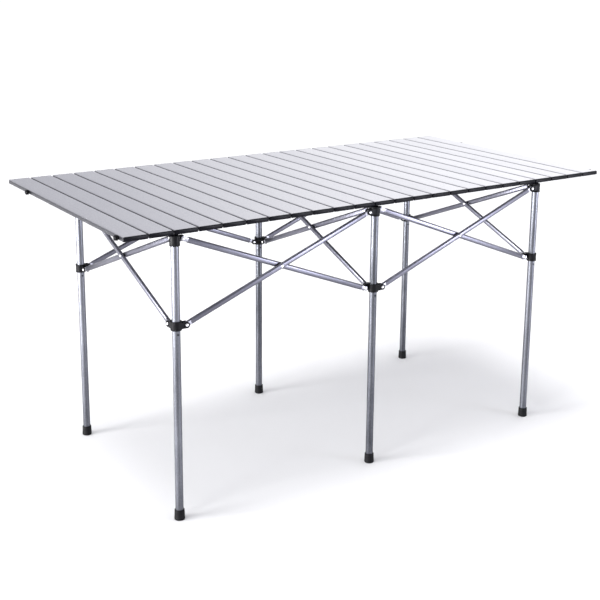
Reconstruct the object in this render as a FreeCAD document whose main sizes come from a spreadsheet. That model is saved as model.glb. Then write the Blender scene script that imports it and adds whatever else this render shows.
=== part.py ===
"""Folding camping table: a roll-up top of 24 aluminium slats on a six-leg scissor frame.

Frame: +X runs along the table's length, +Y to its back, +Z up.  The feet stand on z = 0 and
the origin is the middle of the table's footprint box.  All lengths are in millimetres.
"""
import FreeCAD, Part
import math
import os

SHEET = "Dimensions"
DOC = FreeCAD.newDocument("folding_table")

DIMENSIONS = {
    # the top
    "slat_count": 24,
    "slat_pitch": 58.4,
    "slat_width": 55.0,
    "slat_length": 700.0,
    "slat_depth": 10.0,
    "slat_skin": 1.0,
    "slat_side": 1.2,
    "slat_corner": 2.4,
    "lip_width": 5.0,
    "rib_height": 3.0,
    "rib_spread": 18.0,
    "cap_face": 3.0,
    "cap_plug": 17.0,
    "cord_size": 4.4,
    "cord_drop": 6.4,
    "cord_front": 30.0,
    "cord_back": 556.0,
    "cord_split": 0.2,
    "stopper_size": 12.0,
    "stopper_length": 8.0,
    "stopper_round": 2.5,
    # the legs, hubs, sliders and feet
    "table_height": 660.0,
    "top_clearance": 0.4,
    "leg_bay": 525.6,
    "slats_left_of_leg": 2,
    "leg_size": 18.0,
    "leg_wall": 1.2,
    "foot_size": 24.0,
    "foot_neck": 22.0,
    "foot_height": 24.0,
    "foot_floor": 5.0,
    "hub_size": 23.0,
    "hub_height": 22.0,
    "hub_socket": 15.0,
    "pin_drop": 10.0,
    "slider_size": 25.0,
    "slider_height": 20.0,
    "slider_bore": 18.8,
    "slider_drop": 188.0,
    "lock_hole": 4.5,
    "lock_hole_drop": 19.0,
    # lugs and pins
    "pin_reach": 21.0,
    "pin_size": 4.8,
    "head_size": 7.4,
    "head_height": 1.6,
    "head_top": 4.6,
    "lug_radius": 7.0,
    "lug_plate": 2.4,
    "lug_play": 0.3,
    # the struts
    "strut_height": 13.0,
    "strut_thick": 8.0,
    "strut_wall": 1.0,
    "strut_lane": 4.3,
    "strut_setback": 12.5,
    "eye_radius": 5.5,
    "eye_thick": 7.6,
    "neck_height": 9.6,
    "tongue_grip": 14.0,
    "tongue_thick": 5.0,
    "tongue_height": 8.0,
    "pin_hole": 5.4,
}


def make_sheet():
    """The driving dimensions, one aliased cell each."""
    table = DOC.addObject("Spreadsheet::Sheet", SHEET)
    for row, (alias, value) in enumerate(DIMENSIONS.items(), start=1):
        table.set("A%d" % row, alias.replace("_", " "))
        table.set("B%d" % row, str(value))
        table.setAlias("B%d" % row, alias)
    DOC.recompute()
    return table


sheet = make_sheet()


def size(alias):
    """A driving dimension's value, read back from the sheet."""
    return float(sheet.get(alias))


# ---------------------------------------------------------------- building blocks

def bind(thing, **formulas):
    """Bind properties to formulas; in a formula #alias is a cell of the sheet."""
    for name, formula in formulas.items():
        thing.setExpression(name.replace("__", "."), formula.replace("#", SHEET + "."))
    return thing


def start_at(thing, x, y, z):
    """Bind an object's base point to three formulas."""
    return bind(thing, Placement__Base__x=x, Placement__Base__y=y, Placement__Base__z=z)


def move(thing, x=0.0, y=0.0, z=0.0, yaw=0.0, dip=0.0):
    """Place an object: it dips its +X end by dip degrees, turns by yaw about Z, then shifts."""
    thing.Placement = FreeCAD.Placement(FreeCAD.Vector(x, y, z), FreeCAD.Rotation(yaw, dip, 0))
    return thing


def box(name, corner, sides):
    """A box from its low corner and its three sizes, all formulas."""
    thing = DOC.addObject("Part::Box", name)
    bind(thing, Length=sides[0], Width=sides[1], Height=sides[2])
    return start_at(thing, *corner)


TURNS = {"X": (FreeCAD.Vector(0, 1, 0), 90), "Y": (FreeCAD.Vector(1, 0, 0), -90),
         "Z": (FreeCAD.Vector(0, 0, 1), 0)}


def rod(name, along, radius, length, base=("0", "0", "0")):
    """A cylinder from a base point (formulas) that runs along +X, +Y or +Z."""
    thing = DOC.addObject("Part::Cylinder", name)
    bind(thing, Radius=radius, Height=length)
    thing.Placement = FreeCAD.Placement(FreeCAD.Vector(), FreeCAD.Rotation(*TURNS[along]))
    return start_at(thing, *base)


def taper(name, along, start_radius, end_radius, length, base=("0", "0", "0")):
    """A cone frustum from a base point (formulas) that runs along +X, +Y or +Z."""
    thing = DOC.addObject("Part::Cone", name)
    bind(thing, Radius1=start_radius, Radius2=end_radius, Height=length)
    thing.Placement = FreeCAD.Placement(FreeCAD.Vector(), FreeCAD.Rotation(*TURNS[along]))
    return start_at(thing, *base)


def fuse(name, *things):
    """One solid from several."""
    thing = DOC.addObject("Part::MultiFuse", name)
    thing.Shapes = list(things)
    return thing


def cut(name, base, *tools):
    """A solid less one or more tools."""
    thing = DOC.addObject("Part::Cut", name)
    thing.Base = base
    thing.Tool = tools[0] if len(tools) == 1 else fuse(name + "_tools", *tools)
    return thing


def group(name, *things):
    """A node: its pieces stay separate solids."""
    thing = DOC.addObject("Part::Compound", name)
    thing.Label = name
    thing.Links = list(things)
    return thing


def fillet(name, base, radius_alias, wanted):
    """Round the edges of base for which wanted(edge) is true."""
    DOC.recompute()
    radius = size(radius_alias)
    thing = DOC.addObject("Part::Fillet", name)
    thing.Base = base
    edges = enumerate(base.Shape.Edges, start=1)
    thing.Edges = [(number, radius, radius) for number, edge in edges if wanted(edge)]
    return thing


def is_round(edge):
    """True for a full circle, the rim of a cylinder."""
    return len(edge.Vertexes) == 1


def is_top_corner(edge):
    """True for a slat section's long corner along Y at z = 0."""
    around = edge.BoundBox
    return around.YLength > around.XLength + around.ZLength and around.ZMin > -0.01


# ---------------------------------------------------------------- the top

LANES = ("front", "back")
CORD_Y = "-#slat_length / 2 + #cord_"
CORD_Z = "-#cord_drop"


def slat_section(name, start, length):
    """A slat's outer section run along Y: flat on top at z = 0, with rounded top corners."""
    block = box(name + "_block", ("-#slat_width / 2", start, "-#slat_depth"),
                ("#slat_width", length, "#slat_depth"))
    return fillet(name, block, "slat_corner", is_top_corner)


def slat_filling(name, start, length):
    """The space inside a slat's walls, between its skin and its lips."""
    corner = ("-#slat_width / 2 + #slat_side", start, "-#slat_depth + #slat_side")
    return box(name, corner, ("#slat_width - 2 * #slat_side", length,
                              "#slat_depth - #slat_skin - #slat_side"))


def cord_rod(name, lane, start, length):
    """A length of one elastic cord along X."""
    return rod(name, "X", "#cord_size / 2", length, (start, CORD_Y + lane, CORD_Z))


def slat_extrusion():
    """The aluminium channel: skin, sides, turned-in lips, two ribs and the cord holes."""
    start = "-#slat_length / 2 + #cap_face"
    length = "#slat_length - 2 * #cap_face"
    outer = slat_section("slat_section", start, length)
    cavity = slat_filling("slat_cavity", start + " - 1", length + " + 2")
    mouth = box("slat_mouth",
                ("-#slat_width / 2 + #lip_width", start + " - 1", "-#slat_depth - 1"),
                ("#slat_width - 2 * #lip_width", length + " + 2", "#slat_side + 2"))
    channel = cut("slat_channel", outer, cavity, mouth)
    ribs = []
    for side, sign in (("left", "-"), ("right", "")):
        corner = (sign + "#rib_spread / 2 - #slat_side / 2", start + " + #cap_plug + 1",
                  "-#slat_skin - #rib_height")
        sides = ("#slat_side", length + " - 2 * #cap_plug - 2", "#rib_height + #slat_skin / 2")
        ribs.append(box("slat_rib_" + side, corner, sides))
    ribbed = fuse("slat_ribbed", channel, *ribs)
    holes = [cord_rod("cord_hole_" + lane, lane, "-#slat_width / 2 - 1", "#slat_width + 2")
             for lane in LANES]
    return cut("slat_extrusion", ribbed, *holes)


def end_cap(end):
    """A plastic cap: a face of the slat's section and a plug inside the channel."""
    if end == "front":
        face_start = "-#slat_length / 2"
        plug_start = face_start + " + #cap_face"
    else:
        face_start = "#slat_length / 2 - #cap_face"
        plug_start = face_start + " - #cap_plug"
    face = slat_section("cap_face_" + end, face_start, "#cap_face")
    plug = slat_filling("cap_plug_" + end, plug_start, "#cap_plug")
    return fuse("cap_" + end, face, plug)


def end_slat_cords(side):
    """An end slat's two cords, which run on through a stopper each at the outer side."""
    inner = "(#slat_pitch / 2 - #cord_split)"
    outer = "(#slat_width / 2 + #stopper_length + 1)"
    pieces = []
    for lane in LANES:
        name = "_%s_%s" % (side, lane)
        cord_start = "-" + (outer if side == "left" else inner)
        stopper_start = "#slat_width / 2"
        if side == "left":
            stopper_start = "-#slat_width / 2 - #stopper_length"
        base = (stopper_start, CORD_Y + lane, CORD_Z)
        barrel = rod("barrel" + name, "X", "#stopper_size / 2", "#stopper_length", base)
        rounded = fillet("round" + name, barrel, "stopper_round", is_round)
        bore = cord_rod("bore" + name, lane, stopper_start + " - 1", "#stopper_length + 2")
        pieces.append(cord_rod("cord" + name, lane, cord_start, inner + " + " + outer))
        pieces.append(cut("stopper" + name, rounded, bore))
    return pieces


def make_top(middle_y):
    """The slats, numbered from the left end."""
    body = [slat_extrusion(), end_cap("front"), end_cap("back")]
    cords = [cord_rod("cord_" + lane, lane, "-#slat_pitch / 2 + #cord_split",
                      "#slat_pitch - 2 * #cord_split") for lane in LANES]
    count = int(size("slat_count"))
    laces = {1: end_slat_cords("left"), count: end_slat_cords("right")}
    nodes = []
    for number in range(1, count + 1):
        slat = group("slat_%02d" % number, *body, *laces.get(number, cords))
        x = (number - (count + 1) / 2) * size("slat_pitch")
        nodes.append(move(slat, x, middle_y, size("table_height")))
    return nodes


# ---------------------------------------------------------------- lugs and their pins

EYE_GAP = "(#eye_thick / 2 + #lug_play)"
LUG_EDGE = "(#eye_thick / 2 + #lug_play + #lug_plate)"


def rivet(name, x, low, high, z="0"):
    """A rivet along Y: a shank from low to high with a tapered head outside each end."""
    span = "(%s) - (%s)" % (high, low)
    shank = rod(name + "_shank", "Y", "#pin_size / 2", span, (x, low, z))
    first = taper(name + "_first_head", "Y", "#head_top / 2", "#head_size / 2", "#head_height",
                  (x, "(%s) - #head_height" % low, z))
    last = taper(name + "_last_head", "Y", "#head_size / 2", "#head_top / 2", "#head_height",
                 (x, high, z))
    return fuse(name, shank, first, last)


def lug(name, yaw, side, plates, z):
    """A lug and its rivet on a leg fitting, for a strut end in the lane on one side.

    The lug points along +X before it turns by yaw.  side is +1 or -1 for the strut's lane,
    z is the pin's height.  Two plates make a fork; one stands on the lane's outer side.
    """
    lane = "(%d * #strut_lane)" % side
    offsets = [side] if plates == 1 else [1, -1]
    leaves = []
    for offset in offsets:
        low = lane + " + " + EYE_GAP if offset > 0 else lane + " - " + LUG_EDGE
        part = "%s_%s" % (name, "far" if offset > 0 else "near")
        bar = box(part + "_bar", ("0", low, z + " - #lug_radius"),
                  ("#pin_reach", "#lug_plate", "2 * #lug_radius"))
        nose = rod(part + "_nose", "Y", "#lug_radius", "#lug_plate", ("#pin_reach", low, z))
        hole = rod(part + "_hole", "Y", "#pin_size / 2", "#lug_plate + 2",
                   ("#pin_reach", low + " - 1", z))
        leaves.append(cut(part, fuse(part + "_leaf", bar, nose), hole))
    ends = {offset: LUG_EDGE if offset in offsets else EYE_GAP for offset in (1, -1)}
    pin = rivet(name + "_pin", "#pin_reach", lane + " - " + ends[-1], lane + " + " + ends[1], z)
    for piece in leaves + [pin]:
        move(piece, yaw=yaw)
    return leaves, pin


def fitting(name, core, lugs, z, bore):
    """A hub or slider: a core with its lugs, bored for the leg, and the lugs' rivets."""
    leaves = []
    pins = []
    for number, (yaw, side, plates) in enumerate(lugs, start=1):
        lug_leaves, pin = lug("%s_lug%d" % (name, number), yaw, side, plates, z)
        leaves += lug_leaves
        pins.append(pin)
    return [cut(name + "_moulding", fuse(name + "_solid", core, *leaves), bore)] + pins


# ---------------------------------------------------------------- the legs

def lug_plan(row, column):
    """Which lugs a leg's hub and slider carry, as (yaw, lane side, plates) lists."""
    front = 1 if row == "front" else -1
    hub = [(90 * front, -1, 2)]
    slider = [(90 * front, 1, 2)]
    if column != "right":
        hub.append((0, front, 1))
        slider.append((0, -front, 2))
    if column != "left":
        hub.append((180, front, 2))
        slider.append((180, -front, 1))
    return hub, slider


def leg_tube(name):
    """The leg's tube, with the lock hole just under the slider's place."""
    foot = "#foot_floor"
    length = "#table_height - #slat_depth - #top_clearance - #hub_height + #hub_socket"
    outer = rod(name + "_outside", "Z", "#leg_size / 2", length + " - " + foot, ("0", "0", foot))
    inner = rod(name + "_inside", "Z", "#leg_size / 2 - #leg_wall", length,
                ("0", "0", foot + " - 1"))
    hole_z = "#table_height - #slat_depth - #top_clearance - #pin_drop - #slider_drop"
    hole = rod(name + "_lock_hole", "Y", "#lock_hole / 2", "#leg_size + 2",
               ("0", "-#leg_size / 2 - 1", hole_z + " - #lock_hole_drop"))
    return cut(name + "_tube", outer, inner, hole)


def foot_cap(name):
    """The rubber foot: a slightly flared barrel with the leg's tube standing in it."""
    barrel = taper(name + "_barrel", "Z", "#foot_size / 2", "#foot_neck / 2", "#foot_height")
    socket = rod(name + "_socket", "Z", "#leg_size / 2", "#foot_height",
                 ("0", "0", "#foot_floor"))
    return cut(name + "_foot", barrel, socket)


def make_leg(row, column, x, y):
    """One leg's three nodes: its tube, its hub with the foot, and its slider."""
    place = "%s_%s" % (row, column)
    hub_plan, slider_plan = lug_plan(row, column)
    hub_top = "#table_height - #slat_depth - #top_clearance"
    pin_z = hub_top + " - #pin_drop"
    slider_z = pin_z + " - #slider_drop"
    hub_foot = hub_top + " - #hub_height"

    tube = group("leg_" + place, leg_tube("leg_" + place))

    name = "hub_" + place
    core = rod(name + "_core", "Z", "#hub_size / 2", "#hub_height", ("0", "0", hub_foot))
    socket = rod(name + "_socket", "Z", "#leg_size / 2", "#hub_socket + 1",
                 ("0", "0", hub_foot + " - 1"))
    hub = group("hub_and_foot_" + place, *fitting(name, core, hub_plan, pin_z, socket),
                foot_cap(name))

    name = "slider_" + place
    low = slider_z + " - #slider_height / 2"
    core = rod(name + "_core", "Z", "#slider_size / 2", "#slider_height", ("0", "0", low))
    bore = rod(name + "_bore", "Z", "#slider_bore / 2", "#slider_height + 2",
               ("0", "0", low + " - 1"))
    slider = group(name, *fitting(name, core, slider_plan, slider_z, bore))
    return [move(node, x, y) for node in (tube, hub, slider)]


# ---------------------------------------------------------------- the struts

STRUT_SPAN = "sqrt((#leg_bay - 2 * #pin_reach) ^ 2 + #slider_drop ^ 2)"


def oval(name, start, length, inset):
    """A rod along X of the strut's flat-sided oval section, set in by inset all round."""
    radius = "(#strut_thick / 2 - %s)" % inset
    flat = "(#strut_height - #strut_thick)"
    middle = box(name + "_middle", (start, "-" + radius, "-" + flat + " / 2"),
                 (length, "2 * " + radius, flat))
    upper = rod(name + "_upper", "X", radius, length, (start, "0", flat + " / 2"))
    lower = rod(name + "_lower", "X", radius, length, (start, "0", "-" + flat + " / 2"))
    return fuse(name, middle, upper, lower)


def strut_tube(name, hole_alias):
    """The strut's oval tube, with a hole for the crossing rivet."""
    length = STRUT_SPAN + " - 2 * #strut_setback"
    outer = oval(name + "_outer", "#strut_setback", length, "0")
    inner = oval(name + "_inner", "#strut_setback - 1", length + " + 2", "#strut_wall")
    hole = rod(name + "_hole", "Y", hole_alias + " / 2", "#strut_thick + 2",
               (STRUT_SPAN + " / 2", "-#strut_thick / 2 - 1", "0"))
    return cut(name, outer, inner, hole)


def strut_end(name, end):
    """An end fitting: an eye on the pin, a neck, and a tongue gripped in the tube."""
    pin_x = "0" if end == "first" else STRUT_SPAN
    low = "0" if end == "first" else STRUT_SPAN + " - #strut_setback"
    grip = "#strut_setback" if end == "first" else low + " - #tongue_grip"
    eye = rod(name + "_eye", "Y", "#eye_radius", "#eye_thick", (pin_x, "-#eye_thick / 2", "0"))
    neck = box(name + "_neck", (low, "-#eye_thick / 2", "-#neck_height / 2"),
               ("#strut_setback", "#eye_thick", "#neck_height"))
    tongue = box(name + "_tongue", (grip, "-#tongue_thick / 2", "-#tongue_height / 2"),
                 ("#tongue_grip", "#tongue_thick", "#tongue_height"))
    hole = rod(name + "_hole", "Y", "#pin_hole / 2", "#eye_thick + 2",
               (pin_x, "-#eye_thick / 2 - 1", "0"))
    return cut(name, fuse(name + "_body", eye, neck, tongue), hole)


def make_struts(leg_x, leg_y):
    """The seven scissor pairs: two bays at the front and back, and three cross frames."""
    ends = [strut_end("strut_end_" + end, end) for end in ("first", "last")]
    plain = [strut_tube("plain_tube", "#pin_hole")] + ends
    across = "2 * #strut_lane + #strut_thick / 2 + #lug_play"
    middle_rivet = rivet("crossing_rivet", STRUT_SPAN + " / 2", "-#strut_thick / 2", across)
    riveted = [strut_tube("riveted_tube", "#pin_size")] + ends + [middle_rivet]

    reach = size("pin_reach")
    lane = size("strut_lane")
    high = size("table_height") - size("slat_depth") - size("top_clearance") - size("pin_drop")
    low = high - size("slider_drop")
    dip = math.degrees(math.atan2(size("slider_drop"), size("leg_bay") - 2 * reach))
    nodes = []

    def strut(name, pieces, x, y, z, yaw, angle):
        nodes.append(move(group(name, *pieces), x, y, z, yaw, angle))

    front, back = leg_y["front"], leg_y["back"]
    for bay, first, second in (("left", "left", "middle"), ("right", "middle", "right")):
        start, end = leg_x[first] + reach, leg_x[second] - reach
        strut("strut_front_%s_inner" % bay, plain, start, front + lane, high, 0, dip)
        strut("strut_front_%s_outer" % bay, riveted, start, front - lane, low, 0, -dip)
        strut("strut_back_%s_inner" % bay, plain, start, back - lane, high, 0, dip)
        strut("strut_back_%s_outer" % bay, riveted, end, back + lane, high, 180, dip)
    for column, x in leg_x.items():
        strut("cross_%s_front_high" % column, plain, x + lane, front + reach, high, 90, dip)
        strut("cross_%s_back_high" % column, riveted, x - lane, back - reach, high, -90, dip)
    return nodes


# ---------------------------------------------------------------- the whole table

def make_table():
    """Every node, with the footprint's middle on the origin."""
    pitch = size("slat_pitch")
    left_end = -size("slat_count") * pitch / 2
    first = left_end + size("slats_left_of_leg") * pitch
    bay = size("leg_bay")
    leg_x = {"left": first, "middle": first + bay, "right": first + 2 * bay}

    rivet_reach = (size("strut_lane") + size("eye_thick") / 2 + size("lug_play")
                   + size("lug_plate") + size("head_height"))
    front = (rivet_reach - size("slat_length")) / 2
    leg_y = {"front": front, "back": front + bay}
    top_middle = front + size("slat_length") / 2

    nodes = make_top(top_middle)
    for row, y in leg_y.items():
        for column, x in leg_x.items():
            nodes += make_leg(row, column, x, y)
    return nodes + make_struts(leg_x, leg_y)


def check_and_export(nodes):
    """Stop on any failed object or bad shape, then write each node's STEP file."""
    DOC.recompute()
    for thing in DOC.Objects:
        if "Invalid" in thing.State or "Error" in thing.State:
            raise RuntimeError("%s failed: %s" % (thing.Name, thing.State))
    for node in nodes:
        if node.Shape.isNull() or not node.Shape.isValid():
            raise RuntimeError("%s has a bad shape" % node.Label)
    os.makedirs("parts", exist_ok=True)
    for node in nodes:
        node.Shape.exportStep("parts/%s.step" % node.Label)
    print("nodes", len(nodes), "solids", sum(len(node.Shape.Solids) for node in nodes))


check_and_export(make_table())
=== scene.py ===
"""Folding camping table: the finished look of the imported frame."""
import math

import bmesh
import bpy
from mathutils import Matrix, Vector


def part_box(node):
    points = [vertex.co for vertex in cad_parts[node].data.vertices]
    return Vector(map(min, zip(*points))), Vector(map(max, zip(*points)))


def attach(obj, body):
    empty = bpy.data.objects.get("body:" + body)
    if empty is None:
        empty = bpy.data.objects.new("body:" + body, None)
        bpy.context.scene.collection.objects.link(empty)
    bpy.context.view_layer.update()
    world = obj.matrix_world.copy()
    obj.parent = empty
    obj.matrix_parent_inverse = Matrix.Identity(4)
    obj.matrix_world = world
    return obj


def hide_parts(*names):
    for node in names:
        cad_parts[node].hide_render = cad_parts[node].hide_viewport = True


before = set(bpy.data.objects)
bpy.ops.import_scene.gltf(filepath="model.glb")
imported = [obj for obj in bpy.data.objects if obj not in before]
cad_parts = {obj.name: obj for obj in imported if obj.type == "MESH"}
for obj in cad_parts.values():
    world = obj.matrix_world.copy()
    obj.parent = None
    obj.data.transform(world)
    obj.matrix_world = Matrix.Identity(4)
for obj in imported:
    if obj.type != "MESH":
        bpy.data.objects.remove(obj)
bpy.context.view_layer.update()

MM = 0.001
ROWS = ("front", "back")
COLUMNS = ("left", "middle", "right")

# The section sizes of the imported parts, in metres.
SLAT_WIDTH, SLAT_DEPTH, SLAT_CORNER = 55 * MM, 10 * MM, 2.4 * MM
SLAT_WALL, SLAT_SKIN, SLAT_LIP = 1.2 * MM, 1.0 * MM, 5 * MM
CAP_FACE, CAP_PLUG = 3 * MM, 17 * MM
CORD_DROP, CORD_RADIUS = 6.4 * MM, 2.2 * MM
HUB_HEIGHT, PIN_DROP, PIN_REACH, LANE = 22 * MM, 10 * MM, 21 * MM, 4.3 * MM
LUG_RADIUS, LUG_PLATE, EYE_GAP = 7 * MM, 2.4 * MM, 4.1 * MM
STRUT_HEIGHT, STRUT_THICK, STRUT_WALL = 13 * MM, 8 * MM, 1 * MM
SETBACK, EYE_RADIUS, EYE_THICK, NECK_HEIGHT = 12.5 * MM, 5.5 * MM, 7.6 * MM, 9.6 * MM
CORD_FRONT, CORD_BACK, CORD_SPLIT = 30 * MM, 556 * MM, 0.2 * MM

# The slats' side faces carry a painted shade, a dark tone for the shade there; this is how far their
# undersides go from that painted shade back to plain metal.
UNDERSIDE_PAINTED_SHADE_RELIEF = 0.5

# The stage: softboxes stay low, so that they light only the frame and the floor.
PANEL_DISTANCE, PANEL_HEIGHT, PANEL_DEPTH = 4.5, 0.34, 0.5
FLOOR_HALF, FLOOR_DROP = 40.0, 0.2 * MM

# The camera fitted to the photograph: angles in degrees, place in metres, lens in mm.
CAMERA_ANGLES, CAMERA_PLACE = (33.52, 13.0, 0.47), (-1.5807, -2.3226, 1.2116)
CAMERA_LENS, CAMERA_SHIFT = 65.19, -0.148


def middle(node):
    """The middle of a CAD node's box."""
    low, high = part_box(node)
    return (low + high) / 2


LEG = {(r, c): middle("leg_%s_%s" % (r, c)) for r in ROWS for c in COLUMNS}
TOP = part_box("slat_02")[1].z
HUB_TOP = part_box("hub_and_foot_front_left")[1].z
HIGH = HUB_TOP - PIN_DROP
LOW = middle("slider_front_left").z


# ---------------------------------------------------------------- mesh building

def rounded(corners, steps=5):
    """A closed outline's points, from corners (x, y, radius) in order."""
    points = []
    for i, (x, y, radius) in enumerate(corners):
        here = Vector((x, y))
        if not radius:
            points.append(here)
            continue
        before = (Vector(corners[i - 1][:2]) - here).normalized()
        after = (Vector(corners[(i + 1) % len(corners)][:2]) - here).normalized()
        half = before.angle(after) / 2
        hub = here + (before + after).normalized() * radius / math.sin(half)
        start = here + before * radius / math.tan(half) - hub
        turn = start.angle_signed(here + after * radius / math.tan(half) - hub)
        for k in range(steps + 1):
            points.append(hub + Matrix.Rotation(-turn * k / steps, 2) @ start)
    return points


def stadium(radius, flat, steps=10):
    """An upright oval's points: two half circles with a straight run of length flat between."""
    points = []
    for side in (1, -1):
        for k in range(steps + 1):
            a = math.pi * k / steps + (0 if side > 0 else math.pi)
            points.append(Vector((math.cos(a) * radius, math.sin(a) * radius + side * flat / 2)))
    return points


def finish_mesh(name, bm, soften=0.0, segments=2, sharp=40):
    """A mesh from bm: its hard edges softened by a bevel, then shaded smooth."""
    bmesh.ops.recalc_face_normals(bm, faces=bm.faces[:])
    if soften:
        hard = [e for e in bm.edges if len(e.link_faces) == 2
                and e.calc_face_angle(0) > math.radians(sharp)]
        bmesh.ops.bevel(bm, geom=hard, offset=soften, segments=segments, profile=0.5,
                        affect="EDGES", clamp_overlap=True)
    mesh = bpy.data.meshes.new(name)
    bm.to_mesh(mesh)
    bm.free()
    mesh.shade_smooth()
    mesh.set_sharp_from_angle(angle=math.radians(sharp))
    return mesh


def prism(outline, start, end, hole=None):
    """A bmesh run along Y from start to end; a hole is a loop with as many points."""
    bm = bmesh.new()
    rings = [[bm.verts.new((p.x, y, p.y)) for p in outline] for y in (start, end)]
    count = len(outline)
    for i in range(count):
        j = (i + 1) % count
        bm.faces.new((rings[0][i], rings[0][j], rings[1][j], rings[1][i]))
    if hole is None:
        for ring in rings:
            bm.faces.new(ring)
        return bm
    inner = [[bm.verts.new((p.x, y, p.y)) for p in hole] for y in (start, end)]
    for i in range(count):
        j = (i + 1) % count
        bm.faces.new((inner[0][i], inner[1][i], inner[1][j], inner[0][j]))
        for outside, inside in zip(rings, inner):
            bm.faces.new((outside[i], outside[j], inside[j], inside[i]))
    return bm


def lathe(profile, steps=48, closed=False):
    """A bmesh turned about Z from (radius, height) points; radius 0 closes on the axis."""
    bm = bmesh.new()
    rings = []
    for radius, height in profile:
        if radius == 0:
            rings.append([bm.verts.new((0, 0, height))])
        else:
            rings.append([bm.verts.new((radius * math.cos(a), radius * math.sin(a), height))
                          for a in (2 * math.pi * k / steps for k in range(steps))])
    pairs = list(zip(rings, rings[1:]))
    if closed:
        pairs.append((rings[-1], rings[0]))
    for first, second in pairs:
        for k in range(steps):
            n = (k + 1) % steps
            corners = [first[k % len(first)], first[n % len(first)],
                       second[n % len(second)], second[k % len(second)]]
            face = list(dict.fromkeys(corners))
            bm.faces.new(face)
    return bm


def turned(bm, matrix):
    """bm, moved by a matrix."""
    bmesh.ops.transform(bm, matrix=matrix, verts=bm.verts[:])
    return bm


def joined(*parts):
    """One bmesh that holds several separate shells."""
    whole = bmesh.new()
    for part in parts:
        mesh = bpy.data.meshes.new("part")
        part.to_mesh(mesh)
        part.free()
        whole.from_mesh(mesh)
        bpy.data.meshes.remove(mesh)
    return whole


def welded(name, meshes, cutters=()):
    """One closed mesh: the union of several meshes less the cutters."""
    objects = []
    for mesh in list(meshes) + list(cutters):
        thing = bpy.data.objects.new(name, mesh)
        bpy.context.scene.collection.objects.link(thing)
        objects.append(thing)
    base = objects[0]
    for number, other in enumerate(objects[1:], start=1):
        step = base.modifiers.new("weld", "BOOLEAN")
        step.operation = "UNION" if number < len(meshes) else "DIFFERENCE"
        step.object = other
        step.solver = "EXACT"
    graph = bpy.context.evaluated_depsgraph_get()
    made = bpy.data.meshes.new_from_object(base.evaluated_get(graph))
    made.name = name
    for thing in objects:
        mesh = thing.data
        bpy.data.objects.remove(thing)
        bpy.data.meshes.remove(mesh)
    made.shade_smooth()
    made.set_sharp_from_angle(angle=math.radians(32))
    return made


def place(name, mesh, material, body, replaces=(), matrix=Matrix()):
    """A piece of the model, which rides on a body and may stand for CAD nodes."""
    thing = bpy.data.objects.new(name, mesh)
    bpy.context.scene.collection.objects.link(thing)
    thing.matrix_world = matrix
    if not mesh.materials:
        mesh.materials.append(material)
    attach(thing, body)
    if replaces:
        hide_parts(*replaces)
    return thing


# ---------------------------------------------------------------- materials

class Recipe:
    """A material's node tree, with short calls to add nodes."""

    def __init__(self, name, **constants):
        self.material = bpy.data.materials.new(name)
        self.material.use_nodes = True
        self.tree = self.material.node_tree
        self.shader = self.tree.nodes["Principled BSDF"]
        for socket, value in constants.items():
            self.shader.inputs[socket.replace("_", " ")].default_value = value
        self.place = self.add("TexCoord").outputs["Object"]
        self.chance = self.add("ObjectInfo").outputs["Random"]

    def add(self, kind, inputs=None, **settings):
        node = self.tree.nodes.new("ShaderNode" + kind)
        for key, value in settings.items():
            setattr(node, key, value)
        for key, value in (inputs or {}).items():
            if isinstance(value, bpy.types.NodeSocket):
                self.tree.links.new(value, node.inputs[key])
            else:
                node.inputs[key].default_value = value
        return node

    def stretch(self, scale):
        """Object coordinates in metres, scaled along each axis."""
        return self.add("Mapping", {"Vector": self.place, "Scale": scale}).outputs["Vector"]

    def noise(self, scale, detail=3.0, rough=0.5):
        """4-D noise on stretched coordinates, different on each object."""
        seed = self.add("Math", {0: self.chance, 1: 37.0}, operation="MULTIPLY").outputs[0]
        return self.add("TexNoise", {"Vector": self.stretch(scale), "W": seed, "Scale": 1.0,
                                     "Detail": detail, "Roughness": rough},
                        noise_dimensions="4D").outputs["Fac"]

    def span(self, value, low, high, to_low, to_high):
        """value, taken from low..high to to_low..to_high and clamped."""
        return self.add("MapRange", {"Value": value, "From Min": low, "From Max": high,
                                     "To Min": to_low, "To Max": to_high}).outputs["Result"]

    def math(self, operation, first, second):
        return self.add("Math", {0: first, 1: second}, operation=operation).outputs[0]

    def mix(self, amount, first, second):
        node = self.add("Mix", {"Factor": amount, "A": first, "B": second}, data_type="RGBA")
        return node.outputs["Result"]

    def bump(self, height, depth, strength=1.0, under=None):
        inputs = {"Height": height, "Distance": depth, "Strength": strength}
        if under is not None:
            inputs["Normal"] = under
        return self.add("Bump", inputs).outputs["Normal"]

    def edges(self, radius):
        """0 on flats, rising to 1 on the convex edges, from the bevelled normal."""
        soft = self.add("Bevel", {"Radius": radius}, samples=6).outputs["Normal"]
        true = self.add("NewGeometry").outputs["Normal"]
        dot = self.add("VectorMath", {0: soft, 1: true}, operation="DOT_PRODUCT").outputs["Value"]
        return self.span(dot, 0.99, 0.86, 0.0, 1.0)

    def feed(self, **sockets):
        for socket, value in sockets.items():
            self.tree.links.new(value, self.shader.inputs[socket.replace("_", " ")])
        return self.material


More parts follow.
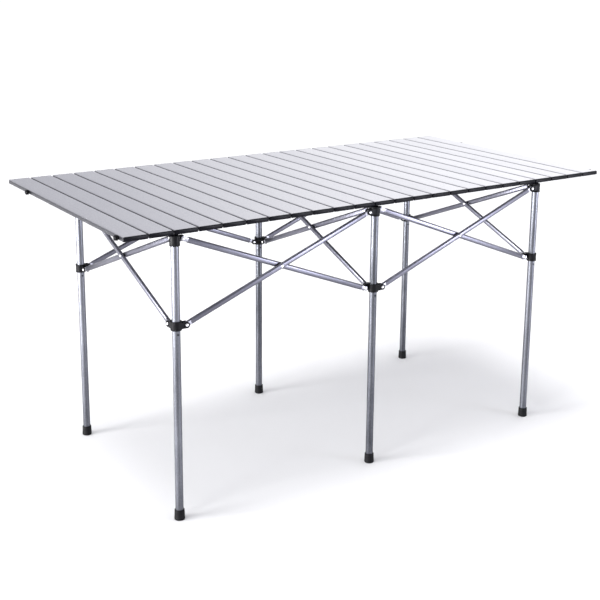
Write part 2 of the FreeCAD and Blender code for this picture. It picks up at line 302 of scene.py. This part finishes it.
def grained_metal(name, light, dark, axis, rough, spread, grain=2600.0, depth=0.00002,
                  contrast=1.0, speckle=0.22, mottle=1.0, sides=None):
    """Anodised aluminium grained along one axis.

    With sides given, faces at the sides take that colour as a painted shade, and faces below go
    halfway to it, a lighter painted shade.
    """
    recipe = Recipe(name, Metallic=1.0, Specular_IOR_Level=0.5)

    def along(across, length):
        return tuple(length if i == axis else across for i in range(3))

    fine = recipe.noise(along(grain, grain / 90), 2.0)
    streak = recipe.noise(along(grain / 7, grain / 420), 3.0, 0.6)
    cloud = recipe.noise(along(26.0, 7.0), 3.0, 0.55)
    fleck = recipe.noise(along(520.0, 300.0), 2.0)
    tone = recipe.math("ADD", recipe.span(fine, 0.3, 0.7, -0.16, 0.16),
                       recipe.span(streak, 0.3, 0.7, -0.28 * mottle, 0.28 * mottle))
    tone = recipe.math("ADD", tone, recipe.span(cloud, 0.3, 0.7, -0.25 * mottle, 0.25 * mottle))
    tone = recipe.math("ADD", tone, recipe.span(fleck, 0.3, 0.7, -speckle, speckle))
    tone = recipe.math("ADD", tone, recipe.span(recipe.chance, 0.0, 1.0, -0.2, 0.2))
    reach = 0.8 / contrast
    colour = recipe.mix(recipe.span(tone, -reach, reach, 0.0, 1.0), dark, light)
    # Painted shade: side faces take the sides colour for the shade that falls on them, and
    # undersides go halfway to it.
    if sides:
        up = recipe.add("SeparateXYZ", {0: recipe.add("TexCoord").outputs["Normal"]}).outputs["Z"]
        painted_shade = recipe.math("SUBTRACT", recipe.span(up, 0.25, 0.75, 1.0, 0.0),
                            recipe.span(up, -0.75, -0.25, UNDERSIDE_PAINTED_SHADE_RELIEF, 0.0))
        colour = recipe.mix(painted_shade, colour, sides)
    haze = spread * 0.6 * mottle
    worn = recipe.math("ADD", recipe.span(fine, 0.25, 0.75, -spread, spread),
                       recipe.span(cloud, 0.3, 0.7, -haze, haze))
    worn = recipe.math("ADD", worn, recipe.span(fleck, 0.62, 0.72, 0.0, spread))
    normal = recipe.bump(fine, depth)
    normal = recipe.bump(streak, depth * 2.0, 0.6 * mottle, normal)
    return recipe.feed(Base_Color=colour, Roughness=recipe.math("ADD", worn, rough),
                       Normal=normal)


def moulded(name, base, lifted, rough, pit, depth):
    """Moulded plastic or rubber: fine pitted skin, rubbed edges and a little dust."""
    recipe = Recipe(name, Specular_IOR_Level=0.08)
    skin = recipe.noise((pit, pit, pit), 4.0, 0.6)
    flow = recipe.noise((140.0, 140.0, 60.0), 3.0)
    rub = recipe.math("MULTIPLY", recipe.edges(0.0006), recipe.span(flow, 0.35, 0.65, 0.25, 1.0))
    dust = recipe.span(recipe.noise((420.0, 420.0, 420.0), 2.0), 0.6, 0.75, 0.0, 0.35)
    amount = recipe.math("MAXIMUM", rub, dust)
    colour = recipe.mix(amount, base, lifted)
    tone = recipe.math("ADD", recipe.span(skin, 0.3, 0.7, -0.06, 0.06),
                       recipe.span(flow, 0.3, 0.7, -0.05, 0.05))
    normal = recipe.bump(skin, depth)
    return recipe.feed(Base_Color=colour, Roughness=recipe.math("ADD", tone, rough),
                       Normal=normal)


def braided(name, dark, light):
    """The elastic cord's woven cover: two crossed sets of fine ribs."""
    recipe = Recipe(name, Roughness=0.8, Specular_IOR_Level=0.25)
    ribs = []
    for lean in (1.0, -1.0):
        turn = recipe.add("Mapping", {"Vector": recipe.place, "Rotation": (0.0, 0.0, lean)})
        wave = recipe.add("TexWave", {"Vector": turn.outputs["Vector"], "Scale": 320.0,
                                      "Distortion": 0.6, "Detail": 1.0})
        ribs.append(wave.outputs["Fac"])
    weave = recipe.math("MAXIMUM", ribs[0], ribs[1])
    fuzz = recipe.noise((3000.0, 3000.0, 3000.0), 2.0)
    colour = recipe.mix(recipe.math("MULTIPLY", weave, fuzz), dark, light)
    return recipe.feed(Base_Color=colour, Normal=recipe.bump(weave, 0.0002))


# Its sides colour is a painted shade: near black on the slats' side faces, and halfway to it beneath
# them.
SLAT_METAL = grained_metal("brushed_slat_aluminium", (0.79, 0.79, 0.82, 1),
                           (0.60, 0.60, 0.65, 1), 1, 0.34, 0.06, depth=0.000015, contrast=1.4,
                           speckle=0.5, mottle=0.3, sides=(0.07, 0.07, 0.08, 1))
LEG_METAL = grained_metal("drawn_leg_aluminium", (0.17, 0.175, 0.20, 1), (0.055, 0.058, 0.068, 1),
                          2, 0.36, 0.05, contrast=1.5)
STRUT_METAL = grained_metal("drawn_strut_aluminium", (0.20, 0.20, 0.24, 1),
                            (0.09, 0.09, 0.112, 1), 0, 0.35, 0.07, contrast=1.2)
FITTING_METAL = grained_metal("cast_fitting_aluminium", (0.30, 0.30, 0.33, 1),
                              (0.20, 0.20, 0.23, 1), 0, 0.42, 0.08, grain=1500.0)
RIVET_METAL = grained_metal("bright_rivet_aluminium", (0.82, 0.82, 0.84, 1),
                            (0.66, 0.66, 0.70, 1), 0, 0.32, 0.08, grain=3000.0)
BLACK_PLASTIC = moulded("black_moulded_plastic", (0.004, 0.004, 0.005, 1),
                        (0.018, 0.018, 0.021, 1), 0.44, 2200.0, 0.00004)
CAP_PLASTIC = moulded("black_cap_plastic", (0.003, 0.003, 0.005, 1),
                      (0.012, 0.012, 0.016, 1), 0.44, 2600.0, 0.00003)
FOOT_RUBBER = moulded("black_foot_rubber", (0.005, 0.005, 0.006, 1),
                      (0.022, 0.021, 0.020, 1), 0.60, 1500.0, 0.00006)
CORD_COVER = braided("braided_cord_cover", (0.010, 0.010, 0.012, 1), (0.06, 0.06, 0.065, 1))


# ---------------------------------------------------------------- the slats

def slat_outline(inset=0.0):
    """The full outer section of a slat: round top corners, crisp bottom ones."""
    half, depth = SLAT_WIDTH / 2 - inset, SLAT_DEPTH - inset
    corner = SLAT_CORNER - inset
    flat = half - corner - 0.3 * MM
    return rounded([(-half, -depth, 0.4 * MM), (half, -depth, 0.4 * MM),
                    (half, -inset, corner), (flat, -inset, 0), (-flat, -inset, 0),
                    (-half, -inset, corner)], 7)


def channel_outline():
    """The extrusion's section: skin, sides, turned-in lips and two ribs under the skin."""
    half, depth, wall = SLAT_WIDTH / 2, SLAT_DEPTH, SLAT_WALL
    lip, skin, nip = half - SLAT_LIP, SLAT_SKIN, 0.3 * MM
    rib_in, rib_out, rib_foot = 8.4 * MM, 9.6 * MM, -4 * MM
    flat = half - SLAT_CORNER - 0.3 * MM
    return rounded([
        (half, 0, SLAT_CORNER), (flat, 0, 0), (-flat, 0, 0), (-half, 0, SLAT_CORNER),
        (-half, -depth, 0.5 * MM),
        (-lip, -depth, nip), (-lip, -depth + wall, nip), (-half + wall, -depth + wall, nip),
        (-half + wall, -skin, nip), (-rib_out, -skin, nip), (-rib_out, rib_foot, nip),
        (-rib_in, rib_foot, nip), (-rib_in, -skin, nip), (rib_in, -skin, nip),
        (rib_in, rib_foot, nip), (rib_out, rib_foot, nip), (rib_out, -skin, nip),
        (half - wall, -skin, nip), (half - wall, -depth + wall, nip),
        (lip, -depth + wall, nip), (lip, -depth, nip), (half, -depth, 0.5 * MM)], 5)


def make_caps(length):
    """An end cap's mesh for each end: a face with a soft rim, and the plug behind it."""
    plug_half = SLAT_WIDTH / 2 - SLAT_WALL - 0.05 * MM
    plug_low, plug_high = -SLAT_DEPTH + SLAT_WALL + 0.05 * MM, -SLAT_SKIN - 0.05 * MM
    plug = rounded([(-plug_half, plug_low, 0.5 * MM), (plug_half, plug_low, 0.5 * MM),
                    (plug_half, plug_high, 0.5 * MM), (-plug_half, plug_high, 0.5 * MM)], 3)
    meshes = {}
    for end, sign in (("front", -1), ("back", 1)):
        tip = sign * length / 2
        root = tip - sign * CAP_FACE
        shell = bmesh.new()
        rings = []
        for inset, step in ((0.0, 0.0), (0.0, 2.2), (0.25, 2.75), (0.7, 3.0)):
            y = root + sign * step * MM
            rings.append([shell.verts.new((p.x, y, p.y)) for p in slat_outline(inset * MM)])
        for first, second in zip(rings, rings[1:]):
            for i in range(len(first)):
                j = (i + 1) % len(first)
                shell.faces.new((first[i], first[j], second[j], second[i]))
        shell.faces.new(rings[0])
        shell.faces.new(rings[-1])
        stem = prism(plug, root - sign * CAP_PLUG, root + sign * 0.5 * MM)
        slots = [prism(rounded([(x - 1.6 * MM, plug_low - 1 * MM, 0),
                                (x + 1.6 * MM, plug_low - 1 * MM, 0),
                                (x + 1.6 * MM, -3.2 * MM, 0.6 * MM),
                                (x - 1.6 * MM, -3.2 * MM, 0.6 * MM)], 3),
                       root - sign * (CAP_PLUG + 1 * MM), root - sign * 2.4 * MM)
                 for x in (-18 * MM, -6 * MM, 6 * MM, 18 * MM)]
        meshes[end] = welded("cap_" + end,
                             [finish_mesh("shell", shell), finish_mesh("stem", stem)],
                             [finish_mesh("slot", slot) for slot in slots])
    return meshes


def cord_line(start, end, y):
    """A stretch of cord along X at a slat's cord height."""
    bm = lathe([(0, start), (CORD_RADIUS, start), (CORD_RADIUS, end), (0, end)], 20)
    return turned(bm, Matrix.Translation((0, y, -CORD_DROP)) @ Matrix.Rotation(math.pi / 2, 4, "Y"))


def stopper(side, y):
    """A round cord stopper against an end slat's side: a waisted barrel with a soft rim."""
    profile = [(2.3, 0), (5.0, 0), (5.75, 0.5), (6.0, 1.4), (6.0, 2.6), (5.5, 3.1), (5.5, 3.7),
               (6.0, 4.2), (6.0, 5.6), (5.7, 6.8), (4.9, 7.6), (3.7, 8.0), (2.9, 7.8), (2.3, 7.2)]
    bm = lathe([(r * MM, h * MM) for r, h in profile], 32, closed=True)
    turn = Matrix.Rotation(side * math.pi / 2, 4, "Y")
    return turned(bm, Matrix.Translation((side * SLAT_WIDTH / 2, y, -CORD_DROP)) @ turn)


def make_slats():
    """Every slat's extrusion, caps, cords and stoppers."""
    names = sorted(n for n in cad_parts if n.startswith("slat_"))
    low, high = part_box(names[1])
    length = high.y - low.y
    lanes = (-length / 2 + CORD_FRONT, -length / 2 + CORD_BACK)
    reach = (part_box(names[2])[0].x - low.x) / 2 - CORD_SPLIT
    channel = finish_mesh("channel", prism(channel_outline(), -length / 2 + CAP_FACE,
                                           length / 2 - CAP_FACE), sharp=50)
    caps = make_caps(length)
    cords = finish_mesh("cords", joined(*(cord_line(-reach, reach, y) for y in lanes)))
    for name in names:
        mid = middle(name)
        side = {names[0]: -1, names[-1]: 1}.get(name, 0)
        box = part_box(name)
        x = {-1: box[1].x - reach, 0: mid.x, 1: box[0].x + reach}[side]
        spot = Matrix.Translation((x, mid.y, TOP))
        place(name + "_channel", channel, SLAT_METAL, name, [name], spot)
        for end, mesh in caps.items():
            place("%s_cap_%s" % (name, end), mesh, CAP_PLASTIC, name, [name],
                  spot)
        if not side:
            place(name + "_cords", cords, CORD_COVER, name, [name], spot)
            continue
        outer = SLAT_WIDTH / 2 + 9 * MM
        run = (-outer, reach) if side < 0 else (-reach, outer)
        laces = finish_mesh(name + "_laces", joined(*(cord_line(*run, y) for y in lanes)))
        knobs = finish_mesh(name + "_knobs", joined(*(stopper(side, y) for y in lanes)))
        place(name + "_cords", laces, CORD_COVER, name, [name], spot)
        place(name + "_stoppers", knobs, BLACK_PLASTIC, name, [name], spot)


# ---------------------------------------------------------------- hubs, sliders, feet

def rivet(low, high, x=0.0, z=0.0):
    """A rivet along Y from plate face low to plate face high, with a domed head at each end."""
    head = [(0, 1.25), (0.7, 1.2), (0.95, 1.45), (1.3, 1.58), (1.9, 1.5), (2.7, 1.2), (3.3, 0.75),
            (3.65, 0.3), (3.7, 0.0)]
    profile = [(r * MM, h * MM + high) for r, h in head]
    profile += [(2.4 * MM, high), (2.4 * MM, low)]
    profile += [(r * MM, low - h * MM) for r, h in reversed(head)]
    turn = Matrix.Rotation(-math.pi / 2, 4, "X")
    return turned(lathe(profile, 28), Matrix.Translation((x, 0, z)) @ turn)


def lug_meshes(side, plates, z, web):
    """A lug's plates, ringed noses and root block, pointing along +X, and its rivet."""
    lane = side * LANE
    offsets = [side] if plates == 1 else [1, -1]
    meshes = []
    outline = []
    for k in range(13):
        a = -math.pi / 2 + math.pi * k / 12
        outline.append(Vector((PIN_REACH + LUG_RADIUS * math.cos(a), z + LUG_RADIUS * math.sin(a))))
    outline += [Vector((2 * MM, z + LUG_RADIUS)), Vector((2 * MM, z - LUG_RADIUS))]
    for offset in offsets:
        inner = lane + offset * EYE_GAP
        outer = inner + offset * LUG_PLATE
        plate = prism(outline, min(inner, outer), max(inner, outer))
        meshes.append(finish_mesh("plate", plate, 0.55 * MM, 3))
        ring = lathe([(r * MM, h * MM) for r, h in
                      ((4.5, -0.8), (6.9, -0.8), (6.9, 0.1), (6.6, 0.45), (6.2, 0.6), (5.2, 0.6),
                       (4.8, 0.45), (4.5, 0.1))], 40, closed=True)
        turn = Matrix.Rotation(-offset * math.pi / 2, 4, "X")
        meshes.append(finish_mesh("ring", turned(ring, Matrix.Translation(
            (PIN_REACH, outer, z)) @ turn)))
    reach = 12.8 * MM if web else 8 * MM
    low = lane - (EYE_GAP + 1 * MM if -1 in offsets else EYE_GAP - 2 * MM)
    high = lane + (EYE_GAP + 1 * MM if 1 in offsets else EYE_GAP - 2 * MM)
    block = prism([Vector((3 * MM, z - 5.4 * MM)), Vector((reach, z - 5.4 * MM)),
                   Vector((reach, z + 5.4 * MM)), Vector((3 * MM, z + 5.4 * MM))], low, high)
    meshes.append(finish_mesh("block", block, 0.5 * MM))
    ends = {o: EYE_GAP + (LUG_PLATE if o in offsets else 0) for o in (1, -1)}
    return meshes, rivet(lane - ends[-1], lane + ends[1], PIN_REACH, z)


def lug_plan(row, column):
    """Which lugs a leg's hub and slider carry, as (yaw, lane side, plates) lists."""
    front = 1 if row == "front" else -1
    hub, slider = [(90 * front, -1, 2)], [(90 * front, 1, 2)]
    if column != "right":
        hub.append((0, front, 1))
        slider.append((0, -front, 2))
    if column != "left":
        hub.append((180, front, 2))
        slider.append((180, -front, 1))
    return hub, slider


def fitting(name, core, lugs, z, cutters=()):
    """A moulding's mesh with its lugs welded on, and its rivets' mesh."""
    shells, pins = [core], []
    for yaw, side, plates in lugs:
        turn = Matrix.Rotation(math.radians(yaw), 4, "Z")
        meshes, pin = lug_meshes(side, plates, z, plates == 2)
        for mesh in meshes:
            mesh.transform(turn)
        shells += meshes
        pins.append(turned(pin, turn))
    return welded(name, shells, cutters), finish_mesh(name + "_rivets", joined(*pins))


def hub_core():
    """The hub's barrel: soft rims, a waist groove and a dished top."""
    foot = HUB_TOP - HUB_HEIGHT
    return lathe([(r * MM, foot + h * MM) for r, h in
                  ((0, 0.4), (9.2, 0.4), (10.0, 0), (11.1, 0), (11.5, 0.5), (11.5, 1.9), (11.1, 2.4),
                   (11.1, 3.0), (11.5, 3.5), (11.5, 20.6), (11.1, 21.6), (10.2, 22), (8.4, 22),
                   (8.0, 21.6), (8.0, 21.0), (7.6, 20.6), (0, 20.6))], 56)


def slider_core():
    """The slider's collar: a sleeve with beaded rims, bored for the leg."""
    profile = ((9.4, -9.4), (10.0, -10), (12.1, -10), (12.5, -9.6), (12.5, -7.4), (12.1, -6.9),
               (12.1, 6.9), (12.5, 7.4), (12.5, 9.6), (12.1, 10), (10.0, 10), (9.4, 9.4))
    return lathe([(r * MM, LOW + h * MM) for r, h in profile], 56, closed=True)


def make_foot():
    """The rubber foot: a flared barrel with grip rings, and a recessed sole."""
    profile = [(0, 1.2), (6.0, 1.2), (6.6, 0.6), (7.2, 0), (10.4, 0), (11.4, 0.4), (11.9, 1.2),
               (12.0, 2.4)]
    for level in (6.0, 9.0, 12.0):
        wide = 12.0 - level / 24
        profile += [(wide, level), (wide - 0.45, level + 0.35), (wide - 0.45, level + 0.85),
                    (wide, level + 1.2)]
    profile += [(11.15, 22.4), (10.9, 23.4), (10.3, 24), (9.4, 24), (9.05, 23.6), (9.05, 22.0)]
    return finish_mesh("foot", lathe([(r * MM, h * MM) for r, h in profile], 56), sharp=50)


def make_legs():
    """Each leg's hub, slider and foot; the tubes are the CAD's own, repainted."""
    foot = make_foot()
    for (row, column), spot in LEG.items():
        at = "%s_%s" % (row, column)
        stand = Matrix.Translation((spot.x, spot.y, 0))
        hub_plan, slider_plan = lug_plan(row, column)
        leg, node, slider = "leg_" + at, "hub_and_foot_" + at, "slider_" + at
        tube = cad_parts[leg]
        tube.data.materials.clear()
        tube.data.materials.append(LEG_METAL)

        hub, pins = fitting("hub_" + at, finish_mesh("core", hub_core()), hub_plan, HIGH)
        place("hub_" + at, hub, BLACK_PLASTIC, leg, [node], stand)
        place("hub_rivets_" + at, pins, RIVET_METAL, leg, [node], stand)
        place("foot_" + at, foot, FOOT_RUBBER, leg, [node], stand)

        bore = finish_mesh("bore", lathe([(r * MM, LOW + h * MM) for r, h in
                                          ((0, -14), (9.35, -14), (9.35, 14), (0, 14))], 56))
        collar, pins = fitting("collar_" + at, finish_mesh("core", slider_core()), slider_plan,
                               LOW, [bore])
        place("collar_" + at, collar, BLACK_PLASTIC, slider, [slider], stand)
        place("collar_rivets_" + at, pins, RIVET_METAL, slider, [slider], stand)


# ---------------------------------------------------------------- the struts

def end_fitting():
    """An end fitting about its pin, with the strut along +X: an eye, a neck and a tongue."""
    half = NECK_HEIGHT / 2
    outline = []
    lean = math.asin(half / EYE_RADIUS)
    for k in range(17):
        a = lean + (2 * math.pi - 2 * lean) * k / 16
        outline.append(Vector((EYE_RADIUS * math.cos(a), EYE_RADIUS * math.sin(a))))
    outline += [Vector((SETBACK - 0.6 * MM, -half)), Vector((SETBACK + 2 * MM, -half + 0.6 * MM)),
                Vector((SETBACK + 2 * MM, half - 0.6 * MM)), Vector((SETBACK - 0.6 * MM, half))]
    body = prism(outline, -EYE_THICK / 2, EYE_THICK / 2)
    tongue = prism([Vector((SETBACK, -4 * MM)), Vector((SETBACK + 14 * MM, -4 * MM)),
                    Vector((SETBACK + 14 * MM, 4 * MM)), Vector((SETBACK, 4 * MM))],
                   -2.5 * MM, 2.5 * MM)
    hole = prism([Vector((2.7 * MM * math.cos(a), 2.7 * MM * math.sin(a)))
                  for a in (2 * math.pi * k / 24 for k in range(24))], -6 * MM, 6 * MM)
    return welded("end_fitting",
                  [finish_mesh("eye", body, 0.7 * MM, 3), finish_mesh("tongue", tongue)],
                  [finish_mesh("hole", hole)])


def make_struts():
    """Each strut's oval tube, its two end fittings, and the crossing rivet on every other."""
    flat = STRUT_HEIGHT - STRUT_THICK
    outer = stadium(STRUT_THICK / 2, flat)
    inner = stadium(STRUT_THICK / 2 - STRUT_WALL, flat)
    bay = LEG["front", "middle"].x - LEG["front", "left"].x - 2 * PIN_REACH
    drop = HIGH - LOW
    span = math.hypot(bay, drop)
    dip = math.atan2(drop, bay)

    along = Matrix.Rotation(-math.pi / 2, 4, "Z")
    tube = turned(prism(outer, SETBACK, span - SETBACK, inner), along)
    tube = finish_mesh("strut_tube", tube, 0.25 * MM, 2, 60)
    first = end_fitting()
    flip = Matrix.Translation((span, 0, 0)) @ Matrix.Rotation(math.pi, 4, "Z")
    ends = bmesh.new()
    ends.from_mesh(first)
    other = bmesh.new()
    other.from_mesh(first)
    fittings = finish_mesh("strut_ends", joined(ends, turned(other, flip)), sharp=32)
    crossing = finish_mesh("crossing_rivet", rivet(-STRUT_THICK / 2,
                                                   2 * LANE + STRUT_THICK / 2 + 0.3 * MM,
                                                   span / 2))

    def strut(node, x, y, z, yaw, angle, riveted):
        turn = Matrix.Rotation(math.radians(yaw), 4, "Z") @ Matrix.Rotation(angle, 4, "Y")
        spot = Matrix.Translation((x, y, z)) @ turn
        place(node + "_tube", tube, STRUT_METAL, node, [node], spot)
        place(node + "_ends", fittings, FITTING_METAL, node, [node], spot)
        if riveted:
            place(node + "_crossing_rivet", crossing, RIVET_METAL, node, [node],
                  spot)

    front, back = LEG["front", "left"].y, LEG["back", "left"].y
    for side, first_leg, last_leg in (("left", "left", "middle"), ("right", "middle", "right")):
        start = LEG["front", first_leg].x + PIN_REACH
        end = LEG["front", last_leg].x - PIN_REACH
        strut("strut_front_%s_inner" % side, start, front + LANE, HIGH, 0, dip, False)
        strut("strut_front_%s_outer" % side, start, front - LANE, LOW, 0, -dip, True)
        strut("strut_back_%s_inner" % side, start, back - LANE, HIGH, 0, dip, False)
        strut("strut_back_%s_outer" % side, end, back + LANE, HIGH, 180, dip, True)
    for column in COLUMNS:
        x = LEG["front", column].x
        strut("cross_%s_front_high" % column, x + LANE, front + PIN_REACH, HIGH, 90, dip, False)
        strut("cross_%s_back_high" % column, x - LANE, back - PIN_REACH, HIGH, -90, dip, True)


# ---------------------------------------------------------------- floor, light, camera

def make_floor():
    """A plain pale floor."""
    bm = bmesh.new()
    bmesh.ops.create_grid(bm, x_segments=1, y_segments=1, size=FLOOR_HALF)
    mesh = bpy.data.meshes.new("floor")
    bm.to_mesh(mesh)
    bm.free()
    floor = bpy.data.objects.new("floor", mesh)
    bpy.context.scene.collection.objects.link(floor)
    floor.location.z = -FLOOR_DROP
    recipe = Recipe("pale_floor", Roughness=0.9, Specular_IOR_Level=0.1,
                    Base_Color=(0.93, 0.93, 0.93, 1))
    mesh.materials.append(recipe.material)


def lamp(name, kind, power, source, colour=(1.0, 1.0, 1.0)):
    """A lamp that shines from source towards the floor below the table."""
    data = bpy.data.lights.new(name, kind)
    data.energy, data.color = power, colour
    thing = bpy.data.objects.new(name, data)
    bpy.context.scene.collection.objects.link(thing)
    thing.location = source
    thing.rotation_euler = Vector(source).to_track_quat("Z", "Y").to_euler()
    return data


def panel(name, power, direction, width, colour=(1.0, 1.0, 1.0)):
    """A low softbox in a level direction, aimed at the floor below the table."""
    source = (direction[0] * PANEL_DISTANCE, direction[1] * PANEL_DISTANCE, PANEL_HEIGHT)
    data = lamp(name, "AREA", power, source, colour)
    data.shape, data.size, data.size_y = "RECTANGLE", width, PANEL_DEPTH


def make_light():
    """A pale room, brighter to the right, a soft lamp overhead, and low softboxes."""
    world = bpy.data.worlds.new("room")
    bpy.context.scene.world = world
    world.use_nodes = True
    tree = world.node_tree
    back = tree.nodes["Background"]
    look = tree.nodes.new("ShaderNodeTexCoord")
    dot = tree.nodes.new("ShaderNodeVectorMath")
    dot.operation = "DOT_PRODUCT"
    tree.links.new(look.outputs["Generated"], dot.inputs[0])
    dot.inputs[1].default_value = (0.93, 0.10, -0.45)
    ramp = tree.nodes.new("ShaderNodeValToRGB")
    tree.links.new(dot.outputs["Value"], ramp.inputs["Fac"])
    stops = ramp.color_ramp.elements
    stops[0].position, stops[0].color = 0.05, (0.26, 0.26, 0.28, 1)
    stops[1].position, stops[1].color = 0.64, (1.0, 1.0, 1.0, 1)
    stops.new(0.34).color = (0.40, 0.40, 0.425, 1)
    stops.new(0.50).color = (0.84, 0.84, 0.85, 1)
    tree.links.new(ramp.outputs["Color"], back.inputs["Color"])
    back.inputs["Strength"].default_value = 1.6

    lamp("overhead", "SUN", 1.55, (-0.06, 0.14, 1.0)).angle = math.radians(30)
    lamp("fill", "SUN", 1.3, (-0.80, -0.50, 0.30)).angle = math.radians(75)
    panel("low_left", 480.0, (-0.985, 0.12), 1.6)
    panel("strip", 95.0, (-0.93, -0.37), 0.6)
    panel("low_front", 150.0, (0.55, -0.83), 1.6, (0.88, 0.89, 1.0))


def make_camera():
    """The camera, at the front left and a little above the table."""
    azimuth, elevation, roll = (math.radians(v) for v in CAMERA_ANGLES)
    forward = Vector((math.sin(azimuth) * math.cos(elevation),
                      math.cos(azimuth) * math.cos(elevation), -math.sin(elevation)))
    right = Vector((math.cos(azimuth), -math.sin(azimuth), 0))
    up = right.cross(forward)
    across = right * math.cos(roll) + up * math.sin(roll)
    over = up * math.cos(roll) - right * math.sin(roll)
    data = bpy.data.cameras.new("camera")
    data.sensor_width, data.lens = 36.0, CAMERA_LENS
    data.shift_y = CAMERA_SHIFT
    data.clip_start, data.clip_end = 0.05, 200.0
    camera = bpy.data.objects.new("camera", data)
    bpy.context.scene.collection.objects.link(camera)
    turn = Matrix((across, over, -forward)).transposed().to_4x4()
    camera.matrix_world = Matrix.Translation(CAMERA_PLACE) @ turn
    bpy.context.scene.camera = camera


make_camera()
make_light()
make_floor()
make_slats()
make_legs()
make_struts()
bpy.context.scene.view_settings.view_transform = "Standard"
